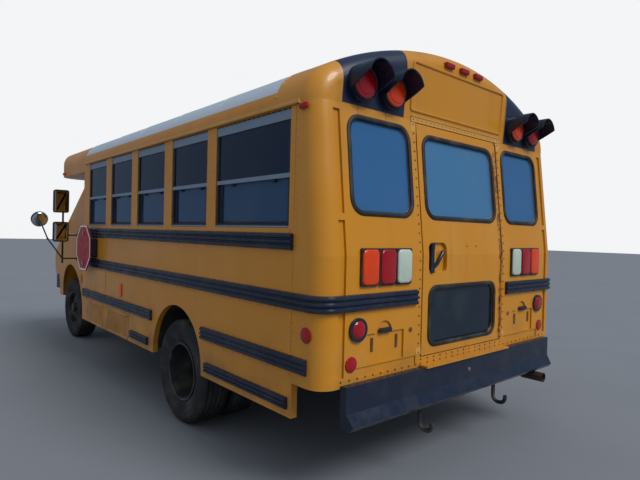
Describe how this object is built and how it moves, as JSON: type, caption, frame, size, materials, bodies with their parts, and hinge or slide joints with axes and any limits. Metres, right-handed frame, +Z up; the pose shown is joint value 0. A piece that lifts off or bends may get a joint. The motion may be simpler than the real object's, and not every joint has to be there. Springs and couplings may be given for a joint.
{
  "type": "short school bus",
  "caption": "Short yellow school bus on a van cutaway chassis with twin rear wheels, a rear emergency door, a two-leaf entrance, a stop arm and a black ribbed rub rail set.",
  "frame": {"origin": "on the ground under the middle of the overall length and width", "axes": "+X forward, +Y to the left side, +Z up"},
  "size_m": [6.0728, 2.6096, 2.5454],
  "materials": {
    "yellow_paint": "gloss",
    "white_paint": "gloss",
    "black_paint": "satin",
    "chassis_black": "rough",
    "cast_metal": "rough",
    "exhaust_steel": "rough",
    "wheel_paint": "satin",
    "tyre_rubber": "rough",
    "sash_metal": "satin",
    "tinted_glass": "gloss",
    "clear_glass": "gloss",
    "floor_rubber": "rough",
    "inner_paint": "satin",
    "seat_vinyl": "satin",
    "dash_plastic": "rough",
    "grille_plastic": "satin",
    "red_lens": "gloss",
    "amber_lens": "gloss",
    "clear_lens": "gloss",
    "sign_red": "satin",
    "mirror_plastic": "satin"
  },
  "bodies": {
    "body": {"amber_lenses": "amber_lens", "bulkhead": "inner_paint", "bumper_step": "yellow_paint", "cab_shell": "yellow_paint", "clear_lenses": "clear_lens", "condenser": "chassis_black", "dashboard": "dash_plastic", "driver_seat": "seat_vinyl", "exhaust": "exhaust_steel", "fixed_glass": "tinted_glass", "floor": "floor_rubber", "frame": "chassis_black", "front_axle": "chassis_black", "front_bumper": "black_paint", "front_cap": "yellow_paint", "fuel_tank": "chassis_black", "grille": "grille_plastic", "lamp_hoods": "black_paint", "mirrors": "mirror_plastic", "passenger_seats": "seat_vinyl", "powertrain": "cast_metal", "rear_axle": "chassis_black", "rear_bumper": "black_paint", "rear_cap": "yellow_paint", "rear_wall": "yellow_paint", "red_lenses": "red_lens", "roof": "white_paint", "rub_rails": "black_paint", "side_wall_left": "yellow_paint", "side_wall_right": "yellow_paint", "step_well": "floor_rubber", "stop_arm_base": "black_paint", "wheel_housings": "floor_rubber", "window_frames": "sash_metal"},
    "knuckle_left": {"knuckle_left": "chassis_black"},
    "knuckle_right": {"knuckle_right": "chassis_black"},
    "wheel_front_left": {"tyre_front_left": "tyre_rubber", "rim_front_left": "wheel_paint"},
    "wheel_front_right": {"tyre_front_right": "tyre_rubber", "rim_front_right": "wheel_paint"},
    "wheel_rear_left": {"tyres_rear_left": "tyre_rubber", "rims_rear_left": "wheel_paint"},
    "wheel_rear_right": {"tyres_rear_right": "tyre_rubber", "rims_rear_right": "wheel_paint"},
    "driver_door": {"driver_door": "yellow_paint", "driver_door_glass": "clear_glass"},
    "emergency_door": {"emergency_door": "yellow_paint", "emergency_glass": "tinted_glass"},
    "entry_front": {"entry_leaf_front": "black_paint", "entry_glass_front": "clear_glass"},
    "entry_rear": {"entry_leaf_rear": "black_paint", "entry_glass_rear": "clear_glass"},
    "hood": {"hood": "yellow_paint"},
    "stop_arm": {"stop_sign": "sign_red"}
  },
  "joints": [
    {"name": "steer_left", "type": "hinge", "parent": "body", "child": "knuckle_left", "pos_m": [2.1825, 0.77, 0.372], "axis": [0, 0, 1], "range_deg": [-32, 32]},
    {"name": "steer_right", "type": "hinge", "parent": "body", "child": "knuckle_right", "pos_m": [2.1825, -0.77, 0.372], "axis": [0, 0, 1], "range_deg": [-32, 32]},
    {"name": "wheel_front_left_spin", "type": "hinge", "parent": "knuckle_left", "child": "wheel_front_left", "pos_m": [2.1825, 0.8685, 0.372], "axis": [0, 1, 0], "continuous": true},
    {"name": "wheel_front_right_spin", "type": "hinge", "parent": "knuckle_right", "child": "wheel_front_right", "pos_m": [2.1825, -0.8685, 0.372], "axis": [0, 1, 0], "continuous": true},
    {"name": "wheel_rear_left_spin", "type": "hinge", "parent": "body", "child": "wheel_rear_left", "pos_m": [-1.3475, 0.9445, 0.372], "axis": [0, 1, 0], "continuous": true},
    {"name": "wheel_rear_right_spin", "type": "hinge", "parent": "body", "child": "wheel_rear_right", "pos_m": [-1.3475, -0.9445, 0.372], "axis": [0, 1, 0], "continuous": true},
    {"name": "driver_door_hinge", "type": "hinge", "parent": "body", "child": "driver_door", "pos_m": [1.7245, 1.008, 1.2], "axis": [0, 0, -1], "range_deg": [0, 70]},
    {"name": "emergency_door_hinge", "type": "hinge", "parent": "body", "child": "emergency_door", "pos_m": [-2.9355, -0.43, 1.3], "axis": [0, 0, 1], "range_deg": [0, 110]},
    {"name": "entry_front_hinge", "type": "hinge", "parent": "body", "child": "entry_front", "pos_m": [1.5745, -1.222, 1.15], "axis": [0, 0, 1], "range_deg": [0, 95]},
    {"name": "entry_rear_hinge", "type": "hinge", "parent": "body", "child": "entry_rear", "pos_m": [0.9605, -1.222, 1.15], "axis": [0, 0, 1], "range_deg": [-95, 0]},
    {"name": "hood_hinge", "type": "hinge", "parent": "body", "child": "hood", "pos_m": [2.5765, 0, 1.326], "axis": [0, -1, 0], "range_deg": [0, 50]},
    {"name": "stop_arm_hinge", "type": "hinge", "parent": "body", "child": "stop_arm", "pos_m": [0.8675, 1.2845, 1.195], "axis": [0, 0, -1], "range_deg": [0, 90]}
  ],
  "couplings": [
    {"joint": "steer_right", "follows": "steer_left", "ratio": 1},
    {"joint": "entry_rear_hinge", "follows": "entry_front_hinge", "ratio": -1}
  ]
}
